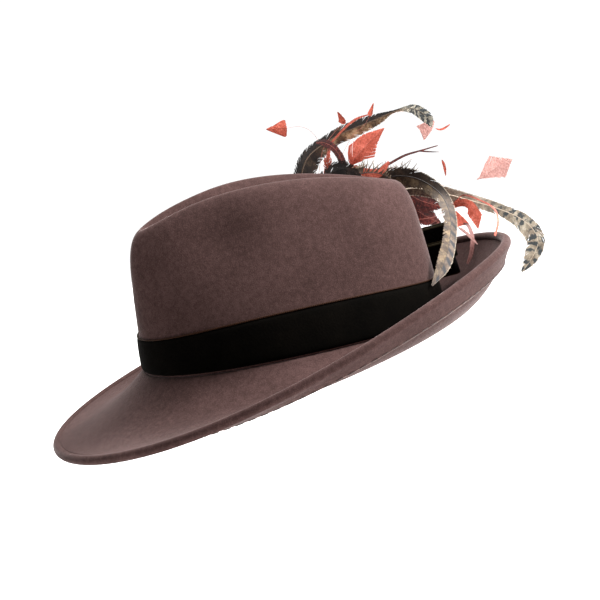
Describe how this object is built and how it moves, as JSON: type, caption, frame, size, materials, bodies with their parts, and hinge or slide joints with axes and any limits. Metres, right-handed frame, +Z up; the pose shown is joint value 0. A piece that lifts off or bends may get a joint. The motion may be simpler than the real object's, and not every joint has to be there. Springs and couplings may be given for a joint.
{
  "type": "fedora hat",
  "caption": "Wide-brimmed felt fedora with a centre-dent crown, rolled brim edge, dark velvet band and side bow, and a spray of pheasant and clipped coral feathers.",
  "frame": {"origin": "centre of the head opening, on the headline where the crown meets the brim", "axes": "+Z up through the crown, -Y towards the front of the brim, +X towards the wearer's left"},
  "size_m": [0.2975, 0.3788, 0.1764],
  "materials": {
    "felt": "brushed mauve-brown fur felt with a mottled nap",
    "brim_wire": "drawn wire, hidden in the edge",
    "felt_thread": "matt sewing thread",
    "velvet": "black-brown velvet ribbon, short pile",
    "copper_edge": "woven copper-brown edge",
    "petersham": "ribbed petersham ribbon",
    "dark_thread": "matt sewing thread",
    "pheasant_dark": "natural pheasant tail, dark vane with tan barbs and bars",
    "pheasant_tan": "natural pheasant tail, golden tan with dark bars",
    "pheasant_cream": "natural pheasant tail, cream with slate bars",
    "dark_feather": "black-brown down feather",
    "coral": "dyed and clipped feather, coral",
    "coral_deep": "dyed and clipped feather, deep red",
    "coral_pale": "dyed and clipped feather, pale pink"
  },
  "bodies": {
    "hat": {"crown": "felt", "brim": "felt", "brim_wire": "brim_wire", "brim_edge_stitching": "felt_thread", "hat_band": "velvet", "band_edging": "copper_edge", "head_ribbon": "petersham", "head_ribbon_stitching": "dark_thread", "bow_loop_rear_upper": "velvet", "bow_loop_rear_lower": "velvet", "bow_loop_front": "velvet", "bow_knot": "velvet", "feather_mount": "felt", "dark_feather_front": "dark_feather", "dark_feather_rear": "dark_feather", "coral_fan": "coral", "coral_spur": "coral", "coral_long_sliver": "coral", "coral_small_arrow": "coral", "coral_large_diamond": "coral", "coral_strap": "coral_deep", "coral_tuft": "coral_pale", "coral_forked_stem": "coral_pale", "coral_hooked_stem": "coral_pale", "coral_arrowhead": "coral_pale", "coral_sliver": "coral_pale", "coral_pale_diamond": "coral_pale", "coral_under_leaf": "coral", "coral_low_leaf_upper": "coral_deep", "coral_low_leaf_lower": "coral_deep", "coral_triangle": "coral", "coral_rear_arrow": "coral", "coral_strand": "coral_deep", "coral_drooping_strip": "coral", "coral_white_sliver": "coral_pale"},
    "front_pheasant": {"pheasant_feather_front": "pheasant_dark"},
    "centre_pheasant": {"pheasant_feather_centre": "pheasant_tan"},
    "rear_pheasant": {"pheasant_feather_rear": "pheasant_cream"}
  },
  "joints": [
    {"name": "front_pheasant_sway", "type": "hinge", "parent": "hat", "child": "front_pheasant", "pos_m": [-0.0638, 0.0462, 0.0435], "axis": [1, 0, 0], "range_deg": [-6, 6], "stiffness_Nm_per_rad": 0.08},
    {"name": "centre_pheasant_sway", "type": "hinge", "parent": "hat", "child": "centre_pheasant", "pos_m": [-0.0606, 0.0536, 0.0445], "axis": [1, 0, 0], "range_deg": [-5, 5], "stiffness_Nm_per_rad": 0.08},
    {"name": "rear_pheasant_sway", "type": "hinge", "parent": "hat", "child": "rear_pheasant", "pos_m": [-0.0594, 0.0613, 0.0399], "axis": [1, 0, 0], "range_deg": [-6, 6], "stiffness_Nm_per_rad": 0.08}
  ]
}
